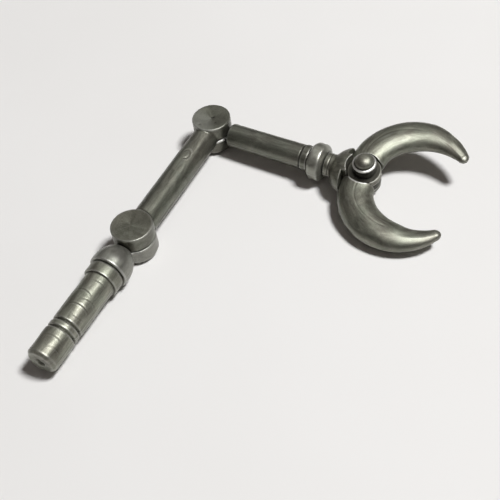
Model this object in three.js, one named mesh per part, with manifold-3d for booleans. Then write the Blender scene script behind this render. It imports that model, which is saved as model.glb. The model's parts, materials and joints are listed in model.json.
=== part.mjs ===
// A jointed toy arm that ends in a two-finger claw, moulded in silver-grey plastic.
// Millimetres, +Z up.  The arm lies flat: the two elbow axes are vertical, the claw is rolled a little
// about the forearm.  The origin is the middle of the footprint, on the surface the arm lies on.
import * as THREE from "three";
import { mergeVertices } from "three/addons/utils/BufferGeometryUtils.js";
import Module from "manifold-3d";

const wasm = await Module();
wasm.setup();

// ---- driving dimensions -------------------------------------------------------------------------

const GAP = 0.3; // between neighbouring pieces that touch in the real arm
const RUNNING_GAP = 0.15; // radial play of a pin in its hole
const AXIS_HEIGHT = 4.8; // of the peg, forearm and claw axes above the surface
const ROUND_STEPS = 32; // facets round a large diameter
const PIN_STEPS = 24; // facets round a pin, stem or bore
const CROWN_STEPS = 8; // facets from the rim to the pole of a dome
const FAR = 12; // beyond every piece, for the ends of a cut

// Attitudes of the links seen from above, counter-clockwise from +X, in degrees.
const PEG_ANGLE = 235.5; // from elbow 1 towards the tip of the peg
const UPPER_ANGLE = 56.15; // from elbow 1 towards elbow 2
const FOREARM_ANGLE = -36; // from elbow 2 towards the claw
const CLAW_ROLL = 10; // of the claw about the forearm axis

// Elbows: two stacked discs, the lower one on the nearer link, with a hidden pin.
const ELBOW_1_RADIUS = 5;
const ELBOW_2_RADIUS = 4.85;
const DISC_THICKNESS = 3.9;
const PIN_RADIUS = 1.4;
const PIN_HEAD_RADIUS = 2.6;
const PIN_HEAD_HEIGHT = 0.8;
const PIN_HEAD_RECESS = 0.3; // of the head below the underside of the lower disc
const PIN_GRIP = 2.5; // length of pin inside the upper disc

// Base peg, measured from elbow 1 along its axis.
const COLLAR_START = 11.75;
const COLLAR_END = 14.75;
const COLLAR_RADIUS = 4.25;
const BARREL_RADIUS = 3.68;
const GROOVE_CENTRES = [28.15, 30.15];
const GROOVE_WIDTH = 0.7;
const GROOVE_DEPTH = 0.5;
const PEG_END = 37.8;
const TIP_CHAMFER = 0.7;
const DIMPLE_RADIUS = 0.9;
const DIMPLE_FLOOR_RADIUS = 0.55;
const DIMPLE_DEPTH = 0.8;

// Domed shoulder and the swivel stem behind it.
const DOME_RADIUS = 4.8;
const DOME_STRAIGHT = 1.2; // cylindrical length behind the round nose
const DOME_NOSE = 6; // length of the round nose
const NOSE_STEPS = 10;
const STEM_RADIUS = 2;
const STEM_BARB_RADIUS = 2.45;
const STEM_LENGTH = 9;
const BARB_LENGTH = 1.4;

// Upper arm: a round rod between two discs, its axis a little above the split of the elbows.
const UPPER_LENGTH = 38.76;
const UPPER_ROD_RADIUS = 3.3;
const UPPER_ROD_RAISE = 0.5;

// Forearm and wrist, measured from elbow 2 along the forearm.
const FOREARM_ROD_RADIUS = 2.9; // at the elbow
const FOREARM_WRIST_RADIUS = 3.08; // where the rod meets the wrist ring
const FOREARM_CHAMFER = 0.5; // of the rod's end beside the elbow
const WRIST_RING_START = 25.85;
const WRIST_RING_END = 27.95;
const WRIST_RING_RADIUS = 3.25;
const WRIST_COLLAR_END = 32.1;
const WRIST_COLLAR_RADIUS = 4.6;
const WRIST_COLLAR_ROUNDING = 1;
const WRIST_STEM_RADIUS = 1.5; // of the palm's stem inside the collar and the forearm
const WRIST_BARB_RADIUS = 1.9;
const WRIST_STEM_END = 20.85;
const CLAW_PIVOT = 42.3;

// Claw, in its own frame: origin on the rivet's axis, +X along the forearm, +Z along the rivet.
const NECK_RADIUS = 2.95;
const PALM_START = -7.5; // where the neck runs into the ball
const PALM_CENTRE = -2.3;
const PALM_RADIUS = 6.5;
const PALM_HALF_HEIGHT = 4.4;
const PALM_RINGS = 20; // rows of facets from the ball's top to its bottom
const PALM_RAISE = 0.4; // of the ball's centre above the forearm axis
const BRIDGE_HALF_WIDTH = 1.75; // of the web that joins the ball to the floor
const BRIDGE_START = -6.8;
const FLOOR_TOP = -2;
const FLOOR_BOTTOM = -3;
const FLOOR_RADIUS = 3.6; // of the palm's floor under the eyes
const EYE_RADIUS = 4; // of the front finger's eye
const REAR_EYE_RADIUS = 3.75;
const EYE_TOP = 2.3; // of the front finger's eye
const EYE_SPLIT = 0.3; // middle of the gap between the two eyes
const EYE_BOTTOM = -1.7; // of the rear finger's eye
const LIP_RADIUS = 3.9; // of the front horn's cut round the boss
const RIVET_RADIUS = 1.5;
const BOSS_RADIUS = 2.85;
const BOSS_SHOULDER = 4.9;
const DOME_BASE = 5.4;
const RIVET_DOME_RADIUS = 2.45;
const RIVET_DOME_HEIGHT = 2.3;
const RIVET_TAIL_RADIUS = 2.2;
const RIVET_TAIL_HEIGHT = 0.4;

// Finger: a curved horn.  The centreline is a Bezier curve in the claw's plane and the half width
// in that plane is a Bernstein polynomial along it.
const FINGER_CURVE = [[-0.45, 3], [-1.2, 10.9], [10.7, 19.4], [20.6, 11]];
const FINGER_HALF_WIDTHS = [4.15, 4.06, 5.14, 1.58];
const FINGER_FLATNESS = 0.66; // half height over half width
const FINGER_RAISE = 0.5; // of the centreline above the forearm axis
const FRONT_TURN = 3.7; // degrees that the front finger is closed past the curve as drawn
const REAR_TURN = 3.8; // degrees that the rear finger is opened past it
const ROOM_STRETCH = 6; // of the horn-shaped room in the palm over a horn's own height
const FINGER_STEPS = 22;
const HORN_STEPS = 24; // facets round a finger
const TIP_STEPS = 4;

// ---- materials ----------------------------------------------------------------------------------

const pearlPlastic = (color, roughness) =>
  new THREE.MeshStandardMaterial({ color, roughness, metalness: 0.6 });
const SILVER = pearlPlastic(0x7f8079, 0.38);
const SILVER_DARK = pearlPlastic(0x73746e, 0.42);
const SILVER_LIGHT = pearlPlastic(0x8d8e87, 0.34);

// ---- helpers ------------------------------------------------------------------------------------

const MERGE_DISTANCE = 1e-5;
const radians = THREE.MathUtils.degToRad;

// A geometry with its shared vertices merged and nothing but their positions left.
function merge(geometry) {
  const bare = geometry.clone();
  bare.deleteAttribute("normal");
  bare.deleteAttribute("uv");
  return mergeVertices(bare, MERGE_DISTANCE);
}

// A closed three.js geometry as a manifold solid.
function solid(geometry) {
  const merged = merge(geometry);
  return new wasm.Manifold(
    new wasm.Mesh({
      numProp: 3,
      vertProperties: new Float32Array(merged.attributes.position.array),
      triVerts: new Uint32Array(merged.index.array),
    }),
  );
}

// A manifold solid as a flat-shaded three.js geometry.
function geometryOf(body) {
  const mesh = body.getMesh();
  const geometry = new THREE.BufferGeometry();
  geometry.setAttribute("position", new THREE.BufferAttribute(mesh.vertProperties, 3));
  geometry.setIndex(new THREE.BufferAttribute(mesh.triVerts, 1));
  return geometry;
}

function piece(name, body, material) {
  const mesh = new THREE.Mesh(geometryOf(body), material);
  mesh.name = name;
  return mesh;
}

// A solid turned about Z.  The profile is a list of [radius, z] and starts and ends on the axis.
function turnedZ(profile, steps = ROUND_STEPS) {
  const points = profile.map(([r, z]) => new THREE.Vector2(r, z));
  return new THREE.LatheGeometry(points, steps).rotateX(Math.PI / 2);
}

// A solid turned about X.  The profile is a list of [x, radius], from the low end to the high end.
function turnedX(profile, steps = ROUND_STEPS) {
  return turnedZ(profile.map(([x, r]) => [r, x]), steps).rotateY(Math.PI / 2);
}

// A vertical cylinder between two heights, about an axis at x.
function post(radius, low, high, x = 0, steps = ROUND_STEPS) {
  return solid(turnedZ([[0, low], [radius, low], [radius, high], [0, high]], steps).translate(x, 0, 0));
}

// A box given by its lowest and highest corners.
function block(low, high) {
  const size = high.map((value, i) => value - low[i]);
  const middle = high.map((value, i) => (value + low[i]) / 2);
  return solid(new THREE.BoxGeometry(...size).translate(...middle));
}

// Points [radius, z] of a quarter ellipse, from the rim at height z to the pole.
function crown(radius, z, height, steps = CROWN_STEPS) {
  return Array.from({ length: steps + 1 }, (_, i) => {
    const turn = (i / steps) * (Math.PI / 2);
    return [i === steps ? 0 : radius * Math.cos(turn), z + height * Math.sin(turn)];
  });
}

// ---- elbows: heights are measured from the axis of the links --------------------------------------

const SPLIT_LOW = -GAP / 2;
const SPLIT_HIGH = GAP / 2;
const DISC_TOP = SPLIT_HIGH + DISC_THICKNESS;
const DISC_BOTTOM = SPLIT_LOW - DISC_THICKNESS;
const HEAD_TOP = DISC_BOTTOM + PIN_HEAD_RECESS + PIN_HEAD_HEIGHT;

// The lower disc of an elbow with its pin hole and the recess for the pin's head.
function drillLowerDisc(body) {
  const hole = post(PIN_RADIUS + RUNNING_GAP, -FAR, FAR, 0, PIN_STEPS);
  const recess = post(PIN_HEAD_RADIUS + GAP, -FAR, HEAD_TOP + GAP);
  return body.subtract(hole).subtract(recess);
}

// The pin comes from below: its head sits in the lower disc and its end in the upper disc.
function elbowPin() {
  const profile = [
    [0, DISC_BOTTOM + PIN_HEAD_RECESS],
    [PIN_HEAD_RADIUS, DISC_BOTTOM + PIN_HEAD_RECESS],
    [PIN_HEAD_RADIUS, HEAD_TOP],
    [PIN_RADIUS, HEAD_TOP],
    [PIN_RADIUS, SPLIT_HIGH + PIN_GRIP],
    [0, SPLIT_HIGH + PIN_GRIP],
  ];
  return solid(turnedZ(profile, PIN_STEPS));
}

// ---- base peg and shoulder: +X runs from elbow 1 towards the tip of the peg -------------------------

const STEM_END = COLLAR_START - GAP + STEM_LENGTH;

function basePeg() {
  const boreRadius = STEM_RADIUS + RUNNING_GAP;
  const pocketRadius = STEM_BARB_RADIUS + RUNNING_GAP;
  const pocketStart = STEM_END - BARB_LENGTH - GAP;
  const grooves = GROOVE_CENTRES.flatMap((centre) => [
    [centre - GROOVE_WIDTH / 2, BARREL_RADIUS],
    [centre - GROOVE_WIDTH / 4, BARREL_RADIUS - GROOVE_DEPTH],
    [centre + GROOVE_WIDTH / 4, BARREL_RADIUS - GROOVE_DEPTH],
    [centre + GROOVE_WIDTH / 2, BARREL_RADIUS],
  ]);
  const profile = [
    [STEM_END + GAP, 0],
    [STEM_END + GAP, pocketRadius],
    [pocketStart, pocketRadius],
    [pocketStart, boreRadius],
    [COLLAR_START, boreRadius],
    [COLLAR_START, COLLAR_RADIUS - GAP],
    [COLLAR_START + GAP, COLLAR_RADIUS],
    [COLLAR_END, COLLAR_RADIUS],
    [COLLAR_END, BARREL_RADIUS],
    ...grooves,
    [PEG_END - TIP_CHAMFER, BARREL_RADIUS],
    [PEG_END, BARREL_RADIUS - TIP_CHAMFER],
    [PEG_END, DIMPLE_RADIUS],
    [PEG_END - DIMPLE_DEPTH, DIMPLE_FLOOR_RADIUS],
    [PEG_END - DIMPLE_DEPTH, 0],
  ];
  return solid(turnedX(profile));
}

function shoulderKnuckle() {
  const back = COLLAR_START - GAP;
  const noseStart = back - DOME_STRAIGHT;
  const nose = crown(DOME_RADIUS, -noseStart, DOME_NOSE, NOSE_STEPS).map(([r, z]) => [-z, r]);
  const dome = solid(turnedX([
    ...nose.reverse(),
    [back - GAP, DOME_RADIUS],
    [back, DOME_RADIUS - GAP],
    [back, STEM_RADIUS],
    [STEM_END - BARB_LENGTH, STEM_RADIUS],
    [STEM_END - BARB_LENGTH, STEM_BARB_RADIUS],
    [STEM_END, STEM_RADIUS - GAP],
    [STEM_END, 0],
  ]));
  const disc = post(ELBOW_1_RADIUS, DISC_BOTTOM, SPLIT_LOW);
  const swing = post(ELBOW_1_RADIUS + GAP, SPLIT_LOW, FAR);
  return drillLowerDisc(dome.add(disc).subtract(swing));
}

// ---- upper arm: +X runs from elbow 1 to elbow 2 ------------------------------------------------------

function upperArm() {
  const rod = solid(turnedX([
    [0, 0],
    [0, UPPER_ROD_RADIUS],
    [UPPER_LENGTH, UPPER_ROD_RADIUS],
    [UPPER_LENGTH, 0],
  ]).translate(0, 0, UPPER_ROD_RAISE));
  let body = rod;
  for (const [x, radius] of [[0, ELBOW_1_RADIUS], [UPPER_LENGTH, ELBOW_2_RADIUS]]) {
    body = body
      .add(post(radius, SPLIT_HIGH, DISC_TOP, x))
      .subtract(post(radius + GAP, -FAR, SPLIT_HIGH, x))
      .subtract(post(PIN_RADIUS + RUNNING_GAP, -FAR, SPLIT_HIGH + PIN_GRIP + GAP, x, PIN_STEPS));
  }
  return body;
}

// ---- forearm and wrist: +X runs from elbow 2 to the claw --------------------------------------------

function forearm() {
  const rodStart = ELBOW_2_RADIUS + GAP;
  const rod = solid(turnedX([
    [0, 0],
    [0, FOREARM_ROD_RADIUS - FOREARM_CHAMFER],
    [rodStart, FOREARM_ROD_RADIUS - FOREARM_CHAMFER],
    [rodStart + FOREARM_CHAMFER, FOREARM_ROD_RADIUS],
    [WRIST_RING_START, FOREARM_WRIST_RADIUS],
    [WRIST_RING_START, WRIST_RING_RADIUS],
    [WRIST_RING_END, WRIST_RING_RADIUS],
    [WRIST_RING_END, WRIST_STEM_RADIUS + RUNNING_GAP],
    [WRIST_STEM_END + BARB_LENGTH + GAP, WRIST_STEM_RADIUS + RUNNING_GAP],
    [WRIST_STEM_END + BARB_LENGTH + GAP, WRIST_BARB_RADIUS + RUNNING_GAP],
    [WRIST_STEM_END - GAP, WRIST_BARB_RADIUS + RUNNING_GAP],
    [WRIST_STEM_END - GAP, 0],
  ]));
  const disc = post(ELBOW_2_RADIUS, DISC_BOTTOM, SPLIT_LOW);
  const swing = post(ELBOW_2_RADIUS + GAP, SPLIT_LOW, FAR);
  return drillLowerDisc(rod.add(disc).subtract(swing));
}

function wristCollar() {
  const low = WRIST_RING_END + GAP;
  const bore = WRIST_STEM_RADIUS + RUNNING_GAP;
  const outer = WRIST_COLLAR_RADIUS;
  const r = WRIST_COLLAR_ROUNDING;
  const corner = r * (1 - Math.SQRT1_2); // inset of the middle of a rounded corner
  return solid(turnedX([
    [low, bore],
    [low, outer - r],
    [low + corner, outer - corner],
    [low + r, outer],
    [WRIST_COLLAR_END - r, outer],
    [WRIST_COLLAR_END - corner, outer - corner],
    [WRIST_COLLAR_END, outer - r],
    [WRIST_COLLAR_END, bore],
    [low, bore],
  ]));
}

// ---- claw ---------------------------------------------------------------------------------------------

function palm() {
  const stemEnd = WRIST_STEM_END - CLAW_PIVOT;
  const neckStart = WRIST_COLLAR_END + GAP - CLAW_PIVOT;
  const neck = solid(turnedX([
    [stemEnd, 0],
    [stemEnd, WRIST_STEM_RADIUS - GAP],
    [stemEnd + BARB_LENGTH, WRIST_BARB_RADIUS],
    [stemEnd + BARB_LENGTH, WRIST_STEM_RADIUS],
    [neckStart, WRIST_STEM_RADIUS],
    [neckStart, NECK_RADIUS],
    [PALM_START, NECK_RADIUS],
    [PALM_START, 0],
  ]));
  const ball = solid(
    new THREE.SphereGeometry(1, ROUND_STEPS, PALM_RINGS)
      .rotateX(Math.PI / 2)
      .scale(PALM_RADIUS, PALM_RADIUS, PALM_HALF_HEIGHT)
      .translate(PALM_CENTRE, 0, PALM_RAISE),
  );
  const side = BRIDGE_HALF_WIDTH;
  const backHalf = block([-FAR, -FAR, -FAR], [0, FAR, FAR]);
  const eyeRoom = post(EYE_RADIUS + GAP, -FAR, FAR);
  const floor = post(FLOOR_RADIUS, FLOOR_BOTTOM, FLOOR_TOP);
  const bridge = block([BRIDGE_START, -side, FLOOR_BOTTOM], [0, side, FLOOR_TOP]);
  const hole = post(RIVET_RADIUS + RUNNING_GAP, -FAR, FAR, 0, PIN_STEPS);
  return ball
    .intersect(backHalf)
    .subtract(eyeRoom)
    .subtract(fingerRoom(true))
    .subtract(fingerRoom(false))
    .add(floor)
    .add(bridge)
    .subtract(hole)
    .add(neck);
}

// A horn along the finger's curve, closed by a flat root and a round tip.  It can be made wider all
// round and stretched in height, as the room that the palm leaves for it.
function horn(growth = 0, stretch = 1) {
  const [a, b, c, d] = FINGER_CURVE.map(([x, y]) => new THREE.Vector3(x, y, 0));
  const curve = new THREE.CubicBezierCurve3(a, b, c, d);
  const halfWidth = (t) => {
    const s = 1 - t;
    const [w0, w1, w2, w3] = FINGER_HALF_WIDTHS;
    return s ** 3 * w0 + 3 * s * s * t * w1 + 3 * s * t * t * w2 + t ** 3 * w3 + growth;
  };
  const tipRadius = halfWidth(1);
  // The straight horn stands on Z.  Between 0 and 1 its height is the place along the curve; below and
  // above, where it runs on past the curve's ends, the rest of the height is in millimetres.
  const profile = [[0, -growth], [halfWidth(0), -growth]];
  for (let i = 1; i <= FINGER_STEPS; i += 1) {
    const t = i / FINGER_STEPS;
    profile.push([halfWidth(t), t]);
  }
  const tip = crown(tipRadius, 0, tipRadius, TIP_STEPS).slice(1);
  profile.push(...tip.map(([r, z]) => [r, 1 + z]));
  const straight = merge(turnedZ(profile, HORN_STEPS));
  const position = straight.attributes.position;
  const point = new THREE.Vector3();
  for (let i = 0; i < position.count; i += 1) {
    point.fromBufferAttribute(position, i);
    const t = THREE.MathUtils.clamp(point.z, 0, 1);
    const beyond = point.z - t;
    const along = curve.getTangent(t);
    const across = new THREE.Vector3(-along.y, along.x, 0);
    const place = curve.getPoint(t).addScaledVector(along, beyond).addScaledVector(across, point.x);
    position.setXYZ(i, place.x, place.y, point.y * FINGER_FLATNESS * stretch + FINGER_RAISE);
  }
  return solid(straight);
}

// Places a horn as the front or the rear finger's.
function inPlace(body, isFront) {
  return isFront
    ? body.mirror([0, 1, 0]).rotate([0, 0, FRONT_TURN])
    : body.rotate([0, 0, REAR_TURN]);
}

// The space over and under a finger's horn, with the gap that the open finger keeps to the palm.
function fingerRoom(isFront) {
  return inPlace(horn(GAP, ROOM_STRETCH), isFront);
}

// The front finger has the upper eye, the rear finger the lower one.  A horn is cut away round the
// rivet wherever the other finger's eye, the palm's floor or the rivet's boss turns.
function finger(isFront) {
  const eyeRadius = isFront ? EYE_RADIUS : REAR_EYE_RADIUS;
  const clear = EYE_RADIUS + GAP;
  const low = isFront ? EYE_SPLIT + GAP / 2 : EYE_BOTTOM;
  const high = isFront ? EYE_TOP : EYE_SPLIT - GAP / 2;
  const upperCut = post(isFront ? LIP_RADIUS : clear, high, FAR);
  const lowerCut = post(clear, -FAR, low);
  const hole = post(RIVET_RADIUS + RUNNING_GAP, -FAR, FAR, 0, PIN_STEPS);
  return inPlace(horn(), isFront)
    .add(post(eyeRadius, low, high))
    .subtract(upperCut)
    .subtract(lowerCut)
    .subtract(hole);
}

function clawRivet() {
  const tailTop = FLOOR_BOTTOM - GAP;
  return solid(turnedZ([
    [0, tailTop - RIVET_TAIL_HEIGHT],
    [RIVET_TAIL_RADIUS, tailTop - RIVET_TAIL_HEIGHT / 2],
    [RIVET_TAIL_RADIUS, tailTop],
    [RIVET_RADIUS, tailTop],
    [RIVET_RADIUS, EYE_TOP + GAP],
    [BOSS_RADIUS, EYE_TOP + GAP],
    [BOSS_RADIUS, BOSS_SHOULDER],
    [RIVET_DOME_RADIUS, DOME_BASE],
    ...crown(RIVET_DOME_RADIUS, DOME_BASE, RIVET_DOME_HEIGHT).slice(1),
  ]));
}

// ---- assembly ---------------------------------------------------------------------------------------

const arm = new THREE.Group();

// A link's frame at the axis height: its origin on an elbow axis, its +X along the link.
function link(name, x, y, angle) {
  const group = new THREE.Group();
  group.name = name;
  group.position.set(x, y, AXIS_HEIGHT);
  group.rotation.z = radians(angle);
  arm.add(group);
  return group;
}

const elbow2X = UPPER_LENGTH * Math.cos(radians(UPPER_ANGLE));
const elbow2Y = UPPER_LENGTH * Math.sin(radians(UPPER_ANGLE));

const pegFrame = link("peg_frame", 0, 0, PEG_ANGLE);
pegFrame.add(piece("base_peg", basePeg(), SILVER_LIGHT));
pegFrame.add(piece("shoulder_knuckle", shoulderKnuckle(), SILVER));

const upperFrame = link("upper_frame", 0, 0, UPPER_ANGLE);
upperFrame.add(piece("upper_arm", upperArm(), SILVER));
upperFrame.add(piece("elbow_1_pin", elbowPin(), SILVER_DARK));

const forearmFrame = link("forearm_frame", elbow2X, elbow2Y, FOREARM_ANGLE);
forearmFrame.add(piece("forearm", forearm(), SILVER));
forearmFrame.add(piece("elbow_2_pin", elbowPin(), SILVER_DARK));
forearmFrame.add(piece("wrist_collar", wristCollar(), SILVER_LIGHT));

const clawFrame = new THREE.Group();
clawFrame.name = "claw_frame";
clawFrame.position.x = CLAW_PIVOT;
clawFrame.rotation.x = radians(CLAW_ROLL);
forearmFrame.add(clawFrame);
clawFrame.add(piece("palm", palm(), SILVER));
clawFrame.add(piece("front_finger", finger(true), SILVER));
clawFrame.add(piece("rear_finger", finger(false), SILVER));
clawFrame.add(piece("claw_rivet", clawRivet(), SILVER_LIGHT));

// Bring the middle of the footprint to the origin and the lowest point to Z = 0.
const box = new THREE.Box3().setFromObject(arm, true);
const middle = box.getCenter(new THREE.Vector3());
arm.position.set(-middle.x, -middle.y, -box.min.z);

export default arm;
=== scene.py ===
"""Looks of a jointed toy claw arm, moulded in pearl silver-grey plastic and lying on white paper.

Each shown piece starts from its CAD node: the node is remeshed finely, every point is moved onto a
smooth distance field written in the link's own millimetres, and moulding marks are added in relief.
"""

import json
import math

import bpy
import numpy as np
from mathutils import Matrix, Vector


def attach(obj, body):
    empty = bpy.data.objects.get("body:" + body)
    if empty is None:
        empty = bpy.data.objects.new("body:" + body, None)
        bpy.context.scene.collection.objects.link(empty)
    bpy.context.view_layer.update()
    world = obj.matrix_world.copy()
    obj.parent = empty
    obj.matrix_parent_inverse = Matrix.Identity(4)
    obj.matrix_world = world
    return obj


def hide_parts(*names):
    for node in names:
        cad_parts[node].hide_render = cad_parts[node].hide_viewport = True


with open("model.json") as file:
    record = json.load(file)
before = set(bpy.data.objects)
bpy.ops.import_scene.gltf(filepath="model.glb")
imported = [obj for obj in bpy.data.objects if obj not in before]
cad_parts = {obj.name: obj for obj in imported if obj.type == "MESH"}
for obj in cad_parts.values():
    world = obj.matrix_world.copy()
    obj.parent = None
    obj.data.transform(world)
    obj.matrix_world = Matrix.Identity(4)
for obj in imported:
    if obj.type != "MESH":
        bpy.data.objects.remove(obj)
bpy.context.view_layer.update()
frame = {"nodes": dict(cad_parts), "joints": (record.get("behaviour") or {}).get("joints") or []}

MM = 0.001
SEED = 7
FAR = 99.0  # beyond every piece, in millimetres
SETTLE_STEPS = 7
SETTLE_REACH = 0.6  # how far a point may be from the field's surface and still be moved onto it
SETTLE_FACING = 0.35  # least cosine between a point's normal and the field's slope
LONGEST_MOVE = 0.15  # in one step
SLOPE_STEP = 0.01
LEAST_SLOPE = 0.2
SMOOTHING_TIMES = 2
CORNER_STEPS = 4
DOME_STEPS = 14
WEAR_AND_CREASE_SHADE_GAIN = 8
CUT_EDGE = 0.12  # rounding of the edges that a clearance cut leaves
HOLE_EDGE = 0.08  # rounding of the edge of a pin's hole

# ---- sizes shared with the CAD part, in millimetres -----------------------------------------------

SPLIT = 0.12  # half the gap between the two discs of an elbow
DISC_FACE = 4.05  # height of an elbow's top face above the axis of the links
ELBOW_1_RADIUS = 5.0
ELBOW_2_RADIUS = 4.85
SWING_GAP = 0.3  # round a disc
TOP_MARKS_FROM = 3.5  # the marks on an elbow's top face are made above this height
PIN_HOLE_RADIUS = 1.55
PIN_HOLE_TOP = 2.95
HEAD_RECESS_RADIUS = 2.9
HEAD_RECESS_TOP = -2.65
UPPER_ROD_RADIUS = 3.3
UPPER_ROD_RAISE = 0.5
COLLAR_START = 11.68
COLLAR_END = 14.75
PEG_END = 37.8
BARREL_RADIUS = 3.68
EYE_RADIUS = 4.0
REAR_EYE_RADIUS = 3.75
EYE_TOP = 2.3
EYE_SPLIT = 0.3
EYE_BOTTOM = -1.7
LIP_RADIUS = 3.9
RIVET_HOLE_RADIUS = 1.65
FINGER_CURVE = np.array([[-0.45, 3], [-1.2, 10.9], [10.7, 19.4], [20.6, 11]])
FINGER_HALF_WIDTHS = np.array([4.15, 4.06, 5.14, 1.58])
FINGER_FLATNESS = 0.66
FINGER_RAISE = 0.5
FRONT_TURN = 3.7
REAR_TURN = 3.8

# ---- frames of the links ----------------------------------------------------------------------------

JOINTS = {joint["name"]: joint for joint in frame["joints"]}


def unit(vector):
    vector = np.array(vector, float)
    return vector / np.linalg.norm(vector)


class Link:
    """A link's own frame: millimetres, the origin on a joint's axis, +X along the link."""

    def __init__(self, joint, x_axis, z_axis=(0, 0, 1)):
        self.origin = np.array(JOINTS[joint]["pos_m"], float) / MM
        x_axis, z_axis = unit(x_axis), unit(z_axis)
        self.axes = np.array([x_axis, np.cross(z_axis, x_axis), z_axis])

    def inward(self, metres):
        return (metres / MM - self.origin) @ self.axes.T

    def outward(self, local):
        return (local @ self.axes + self.origin) * MM


ELBOW_1 = np.array(JOINTS["elbow_1"]["pos_m"])
ELBOW_2 = np.array(JOINTS["elbow_2"]["pos_m"])
UPPER_LENGTH = np.linalg.norm(ELBOW_2 - ELBOW_1) / MM
PEG = Link("elbow_1", JOINTS["shoulder_swivel"]["axis"])
UPPER = Link("elbow_1", ELBOW_2 - ELBOW_1)
FOREARM = Link("elbow_2", JOINTS["wrist_roll"]["axis"])
CLAW = Link("front_finger_pivot", JOINTS["wrist_roll"]["axis"], JOINTS["front_finger_pivot"]["axis"])

# ---- distance fields: negative inside ---------------------------------------------------------------


def smooth_min(a, b, blend):
    share = np.clip(0.5 + 0.5 * (b - a) / blend, 0, 1)
    return b * (1 - share) + a * share - blend * share * (1 - share)


def smooth_max(a, b, blend):
    return -smooth_min(-a, -b, blend)


def column(points, x, radius, low, high, edge):
    """An upright cylinder with rounded edges, about an axis at x."""
    radial = np.hypot(points[:, 0] - x, points[:, 1]) - (radius - edge)
    level = np.abs(points[:, 2] - (low + high) / 2) - ((high - low) / 2 - edge)
    outside = np.hypot(np.maximum(radial, 0), np.maximum(level, 0))
    return np.minimum(np.maximum(radial, level), 0) + outside - edge


def softened(profile, radius):
    """A closed outline with each corner replaced by a short arc."""
    corners = np.array(profile, float)
    made = []
    for before, corner, after in zip(np.roll(corners, 1, 0), corners, np.roll(corners, -1, 0)):
        ends = []
        for other in (before, after):
            length = np.linalg.norm(other - corner)
            ends.append(corner + (other - corner) * min(radius, 0.45 * length) / length)
        for i in range(CORNER_STEPS + 1):
            t = i / CORNER_STEPS
            made.append((1 - t) ** 2 * ends[0] + 2 * t * (1 - t) * corner + t * t * ends[1])
    return np.array(made)


def outline_distance(along, across, outline):
    """Signed distance from points of a plane to a closed outline."""
    nearest = np.full(len(along), 1e9)
    sign = np.ones(len(along))
    for (ax, ay), (bx, by) in zip(outline, np.roll(outline, -1, 0)):
        edge_x, edge_y = bx - ax, by - ay
        x, y = along - ax, across - ay
        t = np.clip((x * edge_x + y * edge_y) / (edge_x**2 + edge_y**2 + 1e-12), 0, 1)
        nearest = np.minimum(nearest, (x - t * edge_x) ** 2 + (y - t * edge_y) ** 2)
        above, under = across >= ay, across < by
        turn = edge_x * y > edge_y * x
        flip = (above & under & turn) | (~above & ~under & ~turn)
        sign = np.where(flip, -sign, sign)
    return sign * np.sqrt(nearest)


def turned(points, outline):
    """A solid of revolution about the link's X axis, from an outline of (x, radius)."""
    return outline_distance(points[:, 0], np.hypot(points[:, 1], points[:, 2]), outline)


def settle(points, normals, field):
    """Moves the points that lie near the field's surface, and face the way it faces, onto it."""
    chosen = None
    for _ in range(SETTLE_STEPS):
        value = field(points)
        slope = np.empty_like(points)
        for axis in range(3):
            shift = np.zeros(3)
            shift[axis] = SLOPE_STEP
            slope[:, axis] = (field(points + shift) - field(points - shift)) / (2 * SLOPE_STEP)
        steepness = np.maximum(np.linalg.norm(slope, axis=1), LEAST_SLOPE)
        if chosen is None:
            facing = (slope * normals).sum(1) / steepness
            chosen = (facing > SETTLE_FACING) & (np.abs(value) < SETTLE_REACH)
        move = np.clip(value / steepness, -LONGEST_MOVE, LONGEST_MOVE) * chosen
        points = points - slope / steepness[:, None] * move[:, None]
    return points


# ---- relief: lengths in millimetres, positive is proud ------------------------------------------------


def bell(distance, width):
    return np.exp(-((distance / width) ** 2))


def waviness(points, scale, seed):
    """A smooth, repeatable unevenness between about -1 and 1."""
    random = np.random.default_rng(seed)
    total = np.zeros(len(points))
    for _ in range(6):
        direction = random.normal(size=3)
        direction *= random.uniform(0.6, 1.6) / np.linalg.norm(direction) / scale
        total += np.sin(points @ direction * 2 * math.pi + random.uniform(0, 2 * math.pi))
    return total / 3


def window(values, low, high, soft):
    """1 between low and high, falling to 0 over the soft width outside."""
    rise = np.clip((values - low) / soft + 1, 0, 1)
    fall = np.clip((high - values) / soft + 1, 0, 1)
    return rise * fall


# ---- meshes -------------------------------------------------------------------------------------------


def coordinates(mesh):
    values = np.empty(len(mesh.vertices) * 3, np.float32)
    mesh.vertices.foreach_get("co", values)
    return values.reshape(-1, 3).astype(float)


def normals_of(mesh):
    values = np.empty(len(mesh.vertices) * 3, np.float32)
    mesh.vertex_normals.foreach_get("vector", values)
    return values.reshape(-1, 3).astype(float)


def edges_of(mesh):
    values = np.empty(len(mesh.edges) * 2, np.int32)
    mesh.edges.foreach_get("vertices", values)
    return values.reshape(-1, 2)


def place(mesh, points):
    mesh.vertices.foreach_set("co", points.astype(np.float32).ravel())
    mesh.update()


def averaged(values, edges):
    """Each vertex's mean over its neighbours."""
    count = len(values)
    total = np.zeros_like(values)
    degree = np.bincount(edges.ravel(), minlength=count)
    for a, b in ((0, 1), (1, 0)):
        for axis in range(values.shape[1]):
            total[:, axis] += np.bincount(edges[:, a], values[edges[:, b], axis], count)
    return total / np.maximum(degree, 1)[:, None]


def smoothed(points, edges):
    """Evens the spacing and rounds the edges without shrinking the whole."""
    for _ in range(SMOOTHING_TIMES):
        for share in (0.5, -0.52):
            points = points + share * (averaged(points, edges) - points)
    return points


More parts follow.
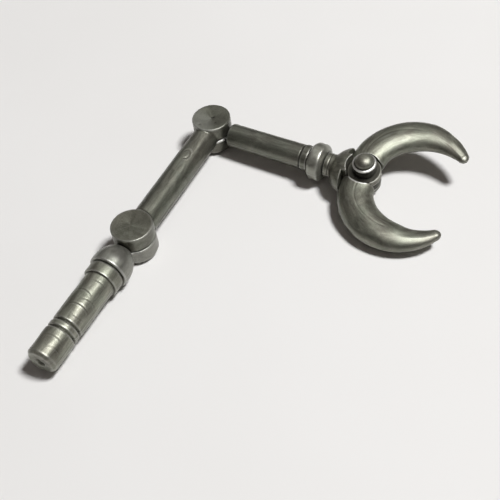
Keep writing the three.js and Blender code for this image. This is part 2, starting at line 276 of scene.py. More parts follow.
def fine_copy(node, link, voxel):
    """A CAD node as an even, fine mesh in its link's own millimetres."""
    mesh = frame["nodes"][node].data.copy()
    place(mesh, link.inward(coordinates(mesh)))
    coarse = bpy.data.objects.new("coarse", mesh)
    bpy.context.scene.collection.objects.link(coarse)
    remesh = coarse.modifiers.new("remesh", "REMESH")
    remesh.mode = "VOXEL"
    remesh.voxel_size = voxel
    bpy.context.view_layer.update()
    fine = bpy.data.meshes.new_from_object(coarse.evaluated_get(bpy.context.evaluated_depsgraph_get()))
    bpy.data.objects.remove(coarse)
    return fine


def edge_wear_and_crease_shade(mesh, voxel):
    """Positive on ridges and corners, which are rubbed bright; negative in creases, which get painted
    shade.
    """
    edges = edges_of(mesh)
    points, normals = coordinates(mesh), normals_of(mesh)
    lean = -((averaged(points, edges) - points) * normals).sum(1, keepdims=True) / voxel
    for _ in range(3):
        lean = 0.5 * lean + 0.5 * averaged(lean, edges)
    return np.clip(lean[:, 0] * WEAR_AND_CREASE_SHADE_GAIN, -1, 1)


def store(mesh, name, kind, values):
    attribute = mesh.attributes.new(name, kind, "POINT")
    key = "vector" if kind == "FLOAT_VECTOR" else "value"
    attribute.data.foreach_set(key, values.astype(np.float32).ravel())


def moulded(name, node, link, body, slot, field, relief, flow=None, painted_shade_light_and_tone=None, voxel=0.13):
    """Builds one piece from its CAD node, its distance field and its relief."""
    mesh = fine_copy(node, link, voxel)
    mesh.name = name
    points = settle(coordinates(mesh), normals_of(mesh), field)
    points = smoothed(points, edges_of(mesh))
    place(mesh, points)
    place(mesh, points + normals_of(mesh) * relief(points)[:, None])
    points = coordinates(mesh)
    store(mesh, "wear_and_crease_shade", "FLOAT", edge_wear_and_crease_shade(mesh, voxel))
    store(mesh, "flow", "FLOAT_VECTOR", points if flow is None else flow(points))
    store(mesh, "painted_shade_light_and_tone", "FLOAT", np.zeros(len(points)) if painted_shade_light_and_tone is None else painted_shade_light_and_tone(points))
    place(mesh, link.outward(points))
    mesh.shade_smooth()
    obj = bpy.data.objects.new(name, mesh)
    bpy.context.scene.collection.objects.link(obj)
    mesh.materials.clear()
    mesh.materials.append(MATERIALS[slot])
    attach(obj, body)
    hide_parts(node)


# ---- materials ----------------------------------------------------------------------------------------


class Nodes:
    """Short calls for building a node tree."""

    def __init__(self, name):
        self.material = bpy.data.materials.new(name)
        self.material.use_nodes = True
        self.tree = self.material.node_tree
        self.tree.nodes.clear()

    def add(self, kind, inputs=None, **settings):
        node = self.tree.nodes.new(kind)
        for key, value in settings.items():
            setattr(node, key, value)
        for key, value in (inputs or {}).items():
            if isinstance(value, bpy.types.NodeSocket):
                self.tree.links.new(value, node.inputs[key])
            else:
                node.inputs[key].default_value = value
        return node

    def math(self, operation, a, b, clamp=False):
        return self.add("ShaderNodeMath", {0: a, 1: b}, operation=operation, use_clamp=clamp).outputs[0]

    def stretch(self, vector, scale):
        return self.add("ShaderNodeVectorMath", {0: vector, 1: scale}, operation="MULTIPLY").outputs[0]

    def noise(self, vector, scale, detail=3.0, roughness=0.55, distortion=0.0):
        inputs = {"Vector": vector, "Scale": scale, "Detail": detail, "Roughness": roughness,
                  "Distortion": distortion}
        return self.add("ShaderNodeTexNoise", inputs).outputs["Fac"]

    def ramp(self, factor, stops):
        node = self.add("ShaderNodeValToRGB", {"Fac": factor})
        elements = node.color_ramp.elements
        for i, (position, color) in enumerate(stops):
            element = elements[i] if i < 2 else elements.new(position)
            element.position = position
            element.color = (*color, 1)
        return node.outputs["Color"]

    def mix(self, factor, a, b, blend="MIX"):
        node = self.add("ShaderNodeMix", data_type="RGBA", blend_type=blend)
        for socket, value in ((node.inputs[0], factor), (node.inputs[6], a), (node.inputs[7], b)):
            if isinstance(value, bpy.types.NodeSocket):
                self.tree.links.new(value, socket)
            else:
                socket.default_value = value if isinstance(value, (int, float)) else (*value, 1)
        return node.outputs[2]


def pearl_plastic(name, brightness, roughness, rub):
    """Silver-grey plastic with metal flake: flow swirls, painted shade in creases, rubbed edges, fine
    scratches.
    A per-point attribute paints shade where it is positive, and paints highlights and lightens the colour
    where negative."""
    n = Nodes(name)
    flow = n.add("ShaderNodeAttribute", attribute_name="flow").outputs["Vector"]
    wear_and_crease_shade = n.add("ShaderNodeAttribute", attribute_name="wear_and_crease_shade").outputs["Fac"]
    swirl = n.noise(n.stretch(flow, (0.12, 0.42, 0.42)), 1.0, 5.0, 0.6, 1.6)
    cloud = n.noise(n.stretch(flow, (0.16, 0.2, 0.2)), 1.0, 2.0, 0.5, 0.4)
    streak = n.noise(n.stretch(flow, (0.25, 2.6, 2.6)), 1.0, 3.0, 0.6, 0.5)
    flake = n.add("ShaderNodeTexVoronoi", {"Vector": flow, "Scale": 9.0}).outputs["Color"]
    glint = n.add("ShaderNodeSeparateColor", {"Color": flake}).outputs[0]
    dark = tuple(brightness * c for c in (0.135, 0.131, 0.108))
    middle = tuple(brightness * c for c in (0.215, 0.215, 0.180))
    light = tuple(brightness * c for c in (0.34, 0.343, 0.292))
    color = n.ramp(swirl, [(0.3, dark), (0.72, light), (0.5, middle)])
    tint = n.ramp(cloud, [(0.35, (0.93, 0.9, 0.86)), (0.65, (0.95, 1.0, 0.93))])
    color = n.mix(0.8, color, tint, "MULTIPLY")
    grain = n.math("MULTIPLY_ADD", glint, 0.34)
    grain.node.inputs[2].default_value = 0.83
    grey = n.add("ShaderNodeCombineColor", {0: grain, 1: grain, 2: grain}).outputs[0]
    color = n.mix(1.0, color, grey, "MULTIPLY")
    lines = n.math("MULTIPLY", n.math("SUBTRACT", streak, 0.52, True), 1.1, True)
    color = n.mix(lines, color, tuple(brightness * c for c in (0.42, 0.42, 0.39)))
    # The attribute read next holds painted shade where positive, and painted highlights and a lighter
    # colour where negative.
    painted_shade_light_and_tone = n.add("ShaderNodeAttribute", attribute_name="painted_shade_light_and_tone").outputs["Fac"]
    # Rubbed edges, painted highlights and the lighter colour are mixed towards light grey.
    wear_highlight_and_tone = n.math("SUBTRACT", n.math("MULTIPLY", wear_and_crease_shade, rub, True), painted_shade_light_and_tone, True)
    color = n.mix(wear_highlight_and_tone, color, (0.62, 0.62, 0.59))
    # Painted shade: the colour is darkened towards near-black in creases and where the painted shade
    # attribute is positive.
    crease = n.math("ADD", n.math("MULTIPLY", wear_and_crease_shade, -1.1, True), painted_shade_light_and_tone, True)
    color = n.mix(crease, color, (0.022, 0.02, 0.017))
    gloss = n.math("MULTIPLY_ADD", swirl, 0.16)
    gloss.node.inputs[2].default_value = roughness - 0.08
    gloss = n.math("ADD", gloss, n.math("MULTIPLY", crease, 0.3))
    scratch = n.noise(n.stretch(flow, (0.7, 9.0, 9.0)), 1.0, 2.0, 0.5, 0.2)
    pebble = n.noise(flow, 2.6, 3.0, 0.6)
    height = n.math("ADD", n.math("MULTIPLY", scratch, 0.5), n.math("MULTIPLY", pebble, 0.8))
    height = n.math("ADD", height, n.math("MULTIPLY", glint, 0.14))
    bump = n.add("ShaderNodeBump", {"Strength": 0.22, "Distance": 0.00006, "Height": height})
    shader = n.add("ShaderNodeBsdfPrincipled", {
        "Base Color": color, "Roughness": gloss, "Normal": bump.outputs[0],
        "Metallic": 0.8, "Coat Weight": 0.15, "Coat Roughness": 0.22, "Specular IOR Level": 0.5,
    })
    n.add("ShaderNodeOutputMaterial", {"Surface": shader.outputs[0]})
    return n.material


def paper():
    """White office paper: a faint warm mottle and fibre."""
    n = Nodes("paper")
    where = n.add("ShaderNodeTexCoord").outputs["Object"]
    mottle = n.noise(where, 9.0, 3.0)
    fibre = n.noise(where, 900.0, 3.0, 0.6)
    color = n.ramp(mottle, [(0.3, (0.80, 0.79, 0.775)), (0.7, (0.83, 0.822, 0.81))])
    bump = n.add("ShaderNodeBump", {"Strength": 0.08, "Distance": 0.0001, "Height": fibre})
    shader = n.add("ShaderNodeBsdfPrincipled", {
        "Base Color": color, "Normal": bump.outputs[0], "Roughness": 0.85, "Specular IOR Level": 0.2,
    })
    n.add("ShaderNodeOutputMaterial", {"Surface": shader.outputs[0]})
    return n.material


# Slot: brightness, roughness, how much the edges are rubbed bright.
FINISHES = {
    "peg_plastic": (0.95, 0.42, 0.6),
    "link_plastic": (0.64, 0.4, 0.5),
    "pin_plastic": (0.7, 0.44, 0.4),
    "collar_plastic": (1.0, 0.38, 0.6),
    "claw_plastic": (0.82, 0.42, 0.4),
    "rivet_plastic": (0.85, 0.44, 0.6),
}
MATERIALS = {slot: pearl_plastic(slot, *finish) for slot, finish in FINISHES.items()}

# ---- base peg -----------------------------------------------------------------------------------------

PEG_OUTLINE = softened([
    (20.75, 0), (20.75, 2.6), (18.75, 2.6), (18.75, 2.15), (COLLAR_START, 2.15),
    (COLLAR_START, 3.95), (12.05, 4.25), (COLLAR_END, 4.25), (COLLAR_END, BARREL_RADIUS),
    (27.8, BARREL_RADIUS), (27.97, 3.18), (28.33, 3.18), (28.5, BARREL_RADIUS),
    (29.8, BARREL_RADIUS), (29.97, 3.18), (30.33, 3.18), (30.5, BARREL_RADIUS),
    (37.1, BARREL_RADIUS), (PEG_END, 2.98), (PEG_END, 1.25), (37.2, 0.8), (37.2, 0),
], 0.25)
# Curved flow marks across the barrel: place along it, direction round it in degrees, reach round it in
# degrees, depth and bow.
BARREL_MARKS = [
    (16.4, 60, 34, 0.03, 0.5), (19.6, 84, 34, 0.05, 0.6), (21.4, 45, 40, 0.03, 0.7),
    (23.3, 66, 46, 0.07, 0.8), (26.2, 50, 34, 0.025, -0.4), (32.4, 72, 40, 0.035, 0.5),
    (34.6, 45, 30, 0.025, 0.4),
]


def peg_relief(p):
    turn = np.degrees(np.arctan2(p[:, 2], p[:, 1]))
    lift = 0.05 * waviness(p, 4.5, SEED)
    for place_x, direction, reach, depth, bow in BARREL_MARKS:
        off = (turn - direction) / reach
        fade = np.clip(1 - off**2, 0, 1)
        along = p[:, 0] - place_x - bow * off**2
        lift -= depth * fade * bell(along, 0.17)
        lift += 0.45 * depth * fade * bell(along - 0.4, 0.22)
    side = np.abs(p[:, 1]) > 2.5
    return lift + side * 0.05 * bell(p[:, 2], 0.16) * window(p[:, 0], 15.5, 36.5, 0.5)


moulded("base_peg_moulding", "base_peg", PEG, "base", "peg_plastic",
        lambda p: turned(p, PEG_OUTLINE), peg_relief)

# ---- shoulder -----------------------------------------------------------------------------------------

DOME_CENTRE, DOME_NOSE, DOME_RADIUS, DOME_BACK = 10.25, 6.0, 4.8, 11.58


def drilled(p, d):
    """The pin's hole and the recess for its head, from below."""
    radial = np.hypot(p[:, 0], p[:, 1])
    d = smooth_max(d, PIN_HOLE_RADIUS - radial, HOLE_EDGE)
    recess = np.maximum(radial - HEAD_RECESS_RADIUS, p[:, 2] - HEAD_RECESS_TOP)
    return smooth_max(d, -recess, HOLE_EDGE)


def lower_disc(p, link_field, radius, blend, gap=SWING_GAP):
    """A lower elbow disc joined to its link, with room above it for the upper disc to turn."""
    d = smooth_min(link_field, column(p, 0, radius, -DISC_FACE, -SPLIT, 0.42), blend)
    swing = np.maximum(np.hypot(p[:, 0], p[:, 1]) - radius - gap, -SPLIT - p[:, 2])
    return drilled(p, smooth_max(d, -swing, CUT_EDGE))


def shoulder_field(p):
    radial = np.hypot(p[:, 1], p[:, 2])
    ahead = np.minimum(p[:, 0] - DOME_CENTRE, 0)
    dome = (np.sqrt((ahead / DOME_NOSE) ** 2 + (radial / DOME_RADIUS) ** 2) - 1) * DOME_RADIUS
    dome = smooth_max(dome, p[:, 0] - DOME_BACK, 0.45)
    return lower_disc(p, dome, ELBOW_1_RADIUS, 0.7)


def lightened_all_over(p):
    """Lightens the colour of the whole piece a little."""
    return np.full(len(p), -0.18)


def shoulder_relief(p):
    lift = 0.015 * waviness(p, 5.0, SEED + 1)
    seam = (np.abs(p[:, 1]) > 2.4) & (p[:, 0] > 5.5)
    lift += seam * 0.06 * bell(p[:, 2] + 0.2, 0.15)
    scuff = bell(np.hypot(p[:, 0] - 8.2, p[:, 1] - 0.6), 0.9) * window(p[:, 2], 2, 6, 0.5)
    return lift - 0.12 * scuff


moulded("shoulder_moulding", "shoulder_knuckle", PEG, "shoulder", "link_plastic",
        shoulder_field, shoulder_relief, painted_shade_light_and_tone=lightened_all_over)

# ---- upper arm ----------------------------------------------------------------------------------------


def upper_arm_field(p):
    rod = np.hypot(p[:, 1], p[:, 2] - UPPER_ROD_RAISE) - UPPER_ROD_RADIUS
    d = np.maximum(rod, np.maximum(-p[:, 0], p[:, 0] - UPPER_LENGTH))
    for x, radius in ((0, ELBOW_1_RADIUS), (UPPER_LENGTH, ELBOW_2_RADIUS)):
        d = smooth_min(d, column(p, x, radius, SPLIT, DISC_FACE, 0.28), 0.4)
        radial = np.hypot(p[:, 0] - x, p[:, 1])
        below = np.maximum(radial - radius - SWING_GAP, p[:, 2] - SPLIT)
        d = smooth_max(d, -below, CUT_EDGE)
        hole = np.maximum(radial - PIN_HOLE_RADIUS, p[:, 2] - PIN_HOLE_TOP)
        d = smooth_max(d, -hole, HOLE_EDGE)
    return d


# Small pits in the top face of elbow 2: place along and across from its axis, size and depth.
ELBOW_2_PITS = [(0.5, -0.3, 0.45, 0.16), (-3.2, 1.6, 0.4, 0.12), (-1.2, -1.9, 0.3, 0.08)]


def upper_arm_relief(p):
    x, y, z = p.T
    lift = 0.02 * waviness(p, 7.0, SEED + 2)
    on_rod = window(x, 6.0, UPPER_LENGTH - 5.8, 0.6)
    ragged = 0.7 + 0.3 * np.sin(x * 1.7) * np.sin(x * 0.61 + 1)
    lift += (np.abs(y) > 2.2) * on_rod * 0.13 * ragged * bell(z, 0.16)
    # A crescent scar across the rod, near elbow 2.
    scar_x, scar_y = x - (UPPER_LENGTH - 13.6), y + 0.3
    arc = np.hypot(scar_x / 1.5, scar_y) - 0.95
    open_side = window(np.degrees(np.arctan2(scar_y, scar_x)), -165, 30, 35)
    lift -= (z > 1) * open_side * (0.08 * bell(arc, 0.2) - 0.03 * bell(arc - 0.35, 0.2))
    on_top = z > TOP_MARKS_FROM
    for pit_x, pit_y, size, depth in ELBOW_2_PITS:
        lift -= depth * bell(np.hypot(x - UPPER_LENGTH - pit_x, y - pit_y), size) * on_top
    # A shallow dish in the top face of each elbow.
    lift -= 0.12 * bell(np.hypot(x - 0.4, y), 2.8) * on_top
    lift -= 0.24 * bell(np.hypot(x - UPPER_LENGTH, y), 2.6) * on_top
    return lift


SHADED_SIDE_DIRECTION = math.radians(-41)  # from the link's +X towards the side of elbow 2's top face that gets painted shade; the opposite side gets a painted highlight


def upper_arm_painted_shade_and_highlight(p):
    """Painted shade on the lower edge of both discs, where they turn over the lower ones, and on one
    side of elbow 2's top face, with a painted highlight on the other side."""
    edge = np.zeros(len(p))
    # Painted shade along the lower edge of each upper disc, next to the gap between the discs.
    for x, radius in ((0, ELBOW_1_RADIUS), (UPPER_LENGTH, ELBOW_2_RADIUS)):
        edge += window(np.hypot(p[:, 0] - x, p[:, 1]), radius - 1.5, radius + 0.2, 0.1)
    aside = np.arctan2(p[:, 1], p[:, 0] - UPPER_LENGTH) - SHADED_SIDE_DIRECTION
    on_top = (p[:, 2] > DISC_FACE - 0.6) & (p[:, 0] > UPPER_LENGTH - ELBOW_2_RADIUS - 0.1)
    # Painted shade on one side of elbow 2's top face and a painted highlight on the other.
    tint = 0.2 * np.tanh(1.6 * np.cos(aside)) * on_top
    return 0.8 * edge * window(p[:, 2], -FAR, 0.42, 0.12) + tint


def disc_flow(x):
    """Flow for a link with an elbow disc about x: radial on the disc's flat face, else along the link."""
    def flow(p):
        radial = np.hypot(p[:, 0] - x, p[:, 1])
        away = (p[:, :2] - (x, 0)) / np.maximum(radial, 0.05)[:, None]
        on_face = (np.abs(p[:, 2]) > DISC_FACE - 0.4) & (radial < ELBOW_1_RADIUS + 0.2)
        return np.where(on_face[:, None], np.column_stack([radial + 60, away]), p)
    return flow


def upper_arm_flow(p):
    near_elbow_1 = p[:, 0] < UPPER_LENGTH / 2
    return np.where(near_elbow_1[:, None], disc_flow(0)(p), disc_flow(UPPER_LENGTH)(p) + (0, 9, 0))


moulded("upper_arm_moulding", "upper_arm", UPPER, "upper_arm", "link_plastic",
        upper_arm_field, upper_arm_relief, upper_arm_flow, upper_arm_painted_shade_and_highlight)

# ---- forearm and wrist --------------------------------------------------------------------------------

RING_START, RING_END = 25.85, 27.95
ROD_END_GAP = SWING_GAP + 0.35  # the rod's end stands well off the upper disc
FOREARM_OUTLINE = softened([
    (0, 0), (0, 1.9), (5.3, 1.9), (5.7, 2.95), (RING_START, 3.08), (RING_START + 0.1, 2.8),
    (RING_START + 0.35, 2.8), (RING_START + 0.4, 3.25), (RING_END, 3.25), (RING_END, 1.65),
    (22.55, 1.65), (22.55, 2.05), (20.55, 2.05), (20.55, 0),
], 0.22)
COLLAR_OUTLINE = softened([
    (28.25, 1.65), (28.25, 3.75), (28.85, 4.45), (29.2, 4.6), (31.1, 4.6), (31.5, 4.42),
    (32.1, 3.65), (32.1, 1.65),
], 0.5)


def forearm_field(p):
    return lower_disc(p, turned(p, FOREARM_OUTLINE), ELBOW_2_RADIUS, 0.4, ROD_END_GAP)


def forearm_relief(p):
    x, y, z = p.T
    lift = 0.015 * waviness(p, 6.0, SEED + 3)
    on_rod = window(x, 6.2, RING_START - 0.5, 0.5)
    ragged = 0.65 + 0.35 * np.sin(x * 1.3 + 2) * np.sin(x * 0.7)
    lift += (np.abs(y) > 1.9) * on_rod * 0.13 * ragged * bell(z + 0.3, 0.16)
    ring = window(x, RING_START + 0.5, RING_END - 0.1, 0.2)
    lift += ring * (np.abs(y) > 2.2) * 0.16 * ragged * bell(z + 0.3, 0.4)
    # Flat draw marks along the rod's top.
    return lift - 0.035 * on_rod * bell(y - 0.9, 0.5) * (z > 1.5)


def forearm_lightened_rim(p):
    """The rim of the lower disc, lightened in colour where it shows in the elbow's gap."""
    radial = np.hypot(p[:, 0], p[:, 1])
    rim = window(radial, ELBOW_2_RADIUS - 0.7, ELBOW_2_RADIUS + 0.1, 0.1)
    return -0.8 * rim * window(p[:, 2], -0.62, 0, 0.15)


def collar_relief(p):
    x, y, z = p.T
    lift = 0.02 * waviness(p, 4.0, SEED + 4)
    nick = bell(np.hypot(x - 28.8, z + 1.4), 0.35) * (y < -3)
    return lift + (np.abs(y) > 3) * 0.07 * bell(z + 0.3, 0.2) - 0.14 * nick


moulded("forearm_moulding", "forearm", FOREARM, "forearm", "link_plastic",
        forearm_field, forearm_relief, painted_shade_light_and_tone=forearm_lightened_rim)
moulded("wrist_collar_moulding", "wrist_collar", FOREARM, "forearm", "collar_plastic",
        lambda p: turned(p, COLLAR_OUTLINE), collar_relief, painted_shade_light_and_tone=lightened_all_over, voxel=0.11)

# ---- fingers ------------------------------------------------------------------------------------------


def bezier(controls, t):
    s = 1 - t
    weights = np.array([s**3, 3 * s * s * t, 3 * s * t * t, t**3])
    return weights.T @ controls


def bezier_slope(controls, t):
    s = 1 - t
    steps = 3 * np.diff(controls, axis=0)
    weights = np.array([s * s, 2 * s * t, t * t])
    return weights.T @ steps


def into_curve(p, turn, mirror):
    """Points of the claw's frame in the frame that the finger's curve is drawn in."""
    angle = math.radians(-turn)
    c, s = math.cos(angle), math.sin(angle)
    x, y = p[:, 0] * c - p[:, 1] * s, p[:, 0] * s + p[:, 1] * c
    return np.stack([x, -y if mirror else y], 1)


def along_curve(flat):
    """Each point's place along the curve, its offset across it and how far it is past the tip."""
    samples = np.linspace(0, 1, 61)
    line = bezier(FINGER_CURVE, samples)
    apart = ((flat[:, None, :] - line[None]) ** 2).sum(2)
    t = samples[apart.argmin(1)]
    for _ in range(3):
        tangent = bezier_slope(FINGER_CURVE, t)
        offset = flat - bezier(FINGER_CURVE, t)
        t = np.clip(t + (offset * tangent).sum(1) / (tangent**2).sum(1) * 0.9, 0, 1)
    tangent = bezier_slope(FINGER_CURVE, t)
    tangent /= np.linalg.norm(tangent, axis=1, keepdims=True)
    offset = flat - bezier(FINGER_CURVE, t)
    across = offset[:, 1] * tangent[:, 0] - offset[:, 0] * tangent[:, 1]
    beyond = (offset * tangent).sum(1) * (t > 0.999)
    return t, across, np.maximum(beyond, 0)


ROOT_WAY = unit(FINGER_CURVE[1] - FINGER_CURVE[0])


def on_finger(p, is_front):
    """A point's place along one finger's curve and its offset across it, how far it is past the tip and
    behind the flat root, and the horn's half width there."""
    flat = into_curve(p, FRONT_TURN if is_front else REAR_TURN, is_front)
    t, across, beyond = along_curve(flat)
    behind = (FINGER_CURVE[0] - flat) @ ROOT_WAY
    return t, across, beyond, behind, bezier(FINGER_HALF_WIDTHS[:, None], t)[:, 0]


TIP_THINNING = 0.34  # millimetres off the half width, on the tip's outer side
TIP_POWER = 1.8  # 2 would make the tip round, and less makes it pointed


def finger_parts(is_front):
    """The field, relief, flow and grime of one finger."""
    low = EYE_SPLIT + SPLIT if is_front else EYE_BOTTOM
    high = EYE_TOP if is_front else EYE_SPLIT - SPLIT
    eye_radius = EYE_RADIUS if is_front else REAR_EYE_RADIUS
    clear = EYE_RADIUS + SWING_GAP
    upper_clear = LIP_RADIUS if is_front else clear
    outer = -1 if is_front else 1

    def field(p):
        t, across, beyond, behind, half = on_finger(p, is_front)
        level = (p[:, 2] - FINGER_RAISE) / FINGER_FLATNESS
        half = half - TIP_THINNING * window(t, 0.84, 2, 0.12) * np.clip(0.5 + across * outer / 1.6, 0, 1)
        off_curve = np.hypot(across, level)
        horn = ((off_curve**TIP_POWER + beyond**TIP_POWER) ** (1 / TIP_POWER) - half) * 0.8
        horn = smooth_max(horn, behind, 0.2)
        radial = np.hypot(p[:, 0], p[:, 1])
        d = smooth_min(horn, column(p, 0, eye_radius, low, high, 0.15), 0.35)
        d = smooth_max(d, -np.maximum(radial - upper_clear, high - p[:, 2]), 0.14)
        d = smooth_max(d, -np.maximum(radial - clear, p[:, 2] - low), 0.14)
        return smooth_max(d, RIVET_HOLE_RADIUS - radial, HOLE_EDGE)

    def relief(p):
        t, across = on_finger(p, is_front)[:2]
        lift = 0.03 * waviness(p, 8.0, SEED + 6 + is_front)
        seam = window(t, 0.06, 0.97, 0.03) * (np.abs(across) > 1.0)
        ragged = 0.7 + 0.3 * np.sin(t * 40) * np.sin(t * 17 + 1)
        lift += seam * 0.12 * ragged * bell(p[:, 2] - FINGER_RAISE + 0.1, 0.16)
        # A faint crease along the top, where two flows of plastic met.
        crease = bell(across - outer * 0.4 - 0.5 * np.sin(t * 6), 0.22)
        return lift - 0.05 * crease * window(t, 0.1, 0.62, 0.08) * (p[:, 2] > 1)

    def flow(p):
        t, across = on_finger(p, is_front)[:2]
        return np.stack([t * 32 + 90 * is_front, across, p[:, 2]], 1)

    def painted_shade_light_and_tone(p):
        """Painted shade on the eye's face, and a painted highlight on the lip where the horn rises round
        the boss.
        """
        radial = np.hypot(p[:, 0], p[:, 1])
        # Painted shade on the eye's face; painted highlight on the front finger's lip.
        eye_face = window(radial, -FAR, EYE_RADIUS - 0.25, 0.1) * window(p[:, 2], -FAR, EYE_TOP + 0.3, 0.1)
        lip = window(radial, LIP_RADIUS - 0.2, LIP_RADIUS + 0.32, 0.08) * (p[:, 2] > EYE_TOP + 0.4)
        return 0.7 * eye_face - 0.8 * lip * is_front

    return field, relief, flow, painted_shade_light_and_tone


for finger_name in ("front_finger", "rear_finger"):
    moulded(finger_name + "_moulding", finger_name, CLAW, finger_name, "claw_plastic",
            *finger_parts(finger_name == "front_finger"))

# ---- palm ---------------------------------------------------------------------------------------------

PALM_CENTRE, PALM_RADIUS, PALM_HALF_HEIGHT, PALM_RAISE = -2.3, 6.5, 4.4, 0.4
BRIDGE_START, BRIDGE_HALF_WIDTH = -6.8, 1.75
FLOOR_TOP, FLOOR_BOTTOM, FLOOR_RADIUS = -2.0, -3.0, 3.6
NECK_START, NECK_RADIUS, NECK_END = -9.9, 2.95, -7.5
HORN_CLEARANCE = 0.2  # from the palm to the open fingers, and to the front finger's eye


def palm_field(p):
    x, y, z = p.T
    flatness = PALM_HALF_HEIGHT / PALM_RADIUS
    ball = np.sqrt((x - PALM_CENTRE) ** 2 + y**2 + ((z - PALM_RAISE) / flatness) ** 2) - PALM_RADIUS
    d = smooth_max(ball * 0.8, x, 0.2)
    radial = np.hypot(x, y)
    d = smooth_max(d, EYE_RADIUS + HORN_CLEARANCE - radial, 0.2)
    near = x > NECK_START
    for is_front in (True, False):
        _, across, beyond, behind, half = on_finger(p[near], is_front)
        room = np.maximum(np.hypot(across, beyond) - half, behind) - HORN_CLEARANCE
        d[near] = smooth_max(d[near], -room, 0.3)
    floor = column(p, 0, FLOOR_RADIUS, FLOOR_BOTTOM, FLOOR_TOP, 0.15)
    bridge_x = np.maximum(BRIDGE_START - x, x)
    bridge_z = np.abs(z - (FLOOR_TOP + FLOOR_BOTTOM) / 2) - (FLOOR_TOP - FLOOR_BOTTOM) / 2
    bridge = np.maximum(np.maximum(bridge_x, bridge_z), np.abs(y) - BRIDGE_HALF_WIDTH)
    d = smooth_min(smooth_min(d, floor, 0.1), bridge, 0.1)
    d = smooth_max(d, RIVET_HOLE_RADIUS - radial, HOLE_EDGE)
    neck = np.maximum(np.hypot(y, z) - NECK_RADIUS, np.maximum(NECK_START - x, x - NECK_END))
    return smooth_min(d, neck, 0.25)


def palm_relief(p):
    x, y, z = p.T
    lift = 0.02 * waviness(p, 5.0, SEED + 5)
    rim = (x < -3.2) & (np.abs(y) > 1.5)
    lift += rim * 0.14 * bell(z - PALM_RAISE + 0.5, 0.17)
    # A fine step where the neck runs into the ball.
    return lift - 0.1 * bell(x + 8.75, 0.14) * (np.hypot(y, z) < 3.6)


moulded("palm_moulding", "palm", CLAW, "palm", "claw_plastic", palm_field, palm_relief, voxel=0.11)

# ---- rivet and pins -----------------------------------------------------------------------------------


def dome_outline(radius, base, height):
    turns = np.linspace(0, math.pi / 2, DOME_STEPS + 1)[:-1]
    return list(zip(base + height * np.sin(turns), radius * np.cos(turns))) + [(base + height, 0)]


LEDGE_LOW, LEDGE_HIGH = 5.18, 5.44  # the sloping ledge round the dome, which carries a painted highlight
RIVET_OUTLINE = softened([
    (-3.7, 0), (-3.5, 2.2), (-3.3, 2.2), (-3.3, 1.5), (2.6, 1.5), (2.6, 2.7), (4.5, 2.76),
    (LEDGE_LOW - 0.2, 2.93), (LEDGE_LOW, 2.93), (LEDGE_HIGH, 2.38), *dome_outline(2.34, 5.5, 1.75),
], 0.08)
HEAD_OFFSET = (0.26, 0.19, 0)  # the rivet's head sits a little off its pin
PIN_OUTLINE = softened([
    (-3.75, 0), (-3.75, 2.6), (-2.95, 2.6), (-2.95, 1.4), (2.65, 1.4), (2.65, 0),
], 0.15)


def upright(outline):
    """The field of a solid of revolution about the vertical axis, from an outline of (z, radius)."""
    return lambda p: outline_distance(p[:, 2], np.hypot(p[:, 0], p[:, 1]), outline)


def head_relief(p):
    return 0.015 * waviness(p, 3.0, SEED + 9)


def rivet_field(p):
    above_eye = np.clip((p[:, 2] - EYE_TOP) / 0.6, 0, 1)[:, None]
    return upright(RIVET_OUTLINE)(p - above_eye * HEAD_OFFSET)


def rivet_painted_shade_and_highlight(p):
    """Painted shade on the boss, a painted highlight on the ledge and a painted shade line round the foot
    of the dome.
    """
    # Painted shade on the boss and round the dome's foot; painted highlight on the ledge.
    boss = window(p[:, 2], -FAR, LEDGE_LOW - 0.12, 0.06)
    ledge = window(p[:, 2], LEDGE_LOW - 0.08, LEDGE_HIGH - 0.02, 0.05)
    foot = window(p[:, 2], LEDGE_HIGH + 0.04, LEDGE_HIGH + 0.5, 0.12)
    return 0.85 * boss - 0.95 * ledge + 0.45 * foot


moulded("claw_rivet_moulding", "claw_rivet", CLAW, "palm", "rivet_plastic", rivet_field,
        head_relief, painted_shade_light_and_tone=rivet_painted_shade_and_highlight, voxel=0.09)
for pin_name, pin_link in (("elbow_1_pin", UPPER), ("elbow_2_pin", FOREARM)):
    moulded(pin_name + "_moulding", pin_name, pin_link, "upper_arm", "pin_plastic",
            upright(PIN_OUTLINE), head_relief, voxel=0.12)

# ---- floor, light and camera --------------------------------------------------------------------------

scene = bpy.context.scene
scene.view_settings.view_transform = "Standard"

FLOOR_SIZE = 3.0
floor_mesh = bpy.data.meshes.new("paper_sheet")
half_floor = FLOOR_SIZE / 2
floor_mesh.from_pydata(
    [(-half_floor, -half_floor, 0), (half_floor, -half_floor, 0),
     (half_floor, half_floor, 0), (-half_floor, half_floor, 0)], [], [(0, 1, 2, 3)])
floor_mesh.materials.append(paper())
floor = bpy.data.objects.new("paper_sheet", floor_mesh)
scene.collection.objects.link(floor)

LIGHT_DISTANCE = 1.6


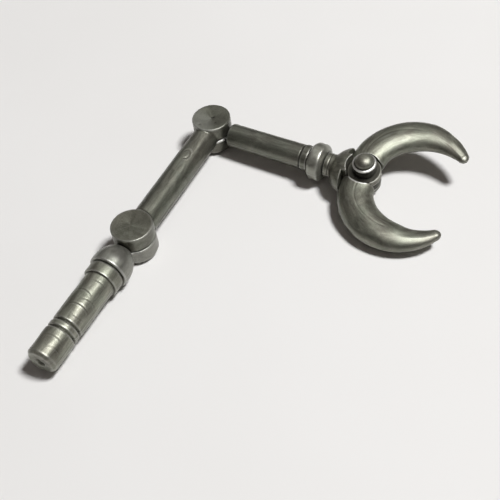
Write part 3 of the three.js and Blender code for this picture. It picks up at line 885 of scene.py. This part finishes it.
def area_light(name, azimuth, elevation, size, power, color, shows):
    """A round soft light aimed at the origin. It shows only in matt shading or only in reflections.
    Azimuth is counter-clockwise from +X, in degrees."""
    light = bpy.data.lights.new(name, "AREA")
    light.shape = "DISK"
    light.size = size
    light.energy = power
    light.color = color
    obj = bpy.data.objects.new(name, light)
    a, e = math.radians(azimuth), math.radians(elevation)
    away = Vector((math.cos(a) * math.cos(e), math.sin(a) * math.cos(e), math.sin(e)))
    obj.location = away * LIGHT_DISTANCE
    obj.rotation_mode = "QUATERNION"
    obj.rotation_quaternion = away.to_track_quat("Z", "Y")
    obj.visible_diffuse = shows == "matt"
    obj.visible_glossy = shows == "glossy"
    scene.collection.objects.link(obj)


area_light("window", -7, 62, 0.36, 27.5, (0.995, 0.998, 1.0), "matt")
area_light("near_card", -45, 70, 1.15, 33.0, (1.0, 1.0, 0.99), "glossy")
area_light("window_card", 2, 63, 0.45, 5.0, (1.0, 1.0, 0.99), "glossy")
area_light("far_card", 90, 48, 1.3, 2.2, (1.0, 1.0, 0.96), "glossy")

world = bpy.data.worlds.new("room")
world.use_nodes = True
background = world.node_tree.nodes["Background"]
background.inputs["Color"].default_value = (1.0, 0.88, 0.82, 1)
background.inputs["Strength"].default_value = 0.085
scene.world = world

# The camera looks down on the arm from the -Y side and is rolled a little about its line of sight.
CAMERA_FROM_ELBOW_1 = Vector((0.026021, -0.140688, 0.155410))
CAMERA_TILT = math.radians(49.795)
CAMERA_ROLL = math.radians(-9.197)
CAMERA_SHIFT = -0.0026
CAMERA_LENS = 64.8
camera_data = bpy.data.cameras.new("camera")
camera_data.sensor_width = 36
camera_data.lens = CAMERA_LENS
camera_data.shift_y = CAMERA_SHIFT
camera = bpy.data.objects.new("camera", camera_data)
scene.collection.objects.link(camera)
ahead = Vector((0, math.cos(CAMERA_TILT), -math.sin(CAMERA_TILT)))
level_right, level_up = Vector((1, 0, 0)), Vector((0, math.sin(CAMERA_TILT), math.cos(CAMERA_TILT)))
right = math.cos(CAMERA_ROLL) * level_right + math.sin(CAMERA_ROLL) * level_up
up = -math.sin(CAMERA_ROLL) * level_right + math.cos(CAMERA_ROLL) * level_up
camera.matrix_world = Matrix.Translation(Vector(ELBOW_1) + CAMERA_FROM_ELBOW_1) @ Matrix(
    (right, up, -ahead)).transposed().to_4x4()
scene.camera = camera
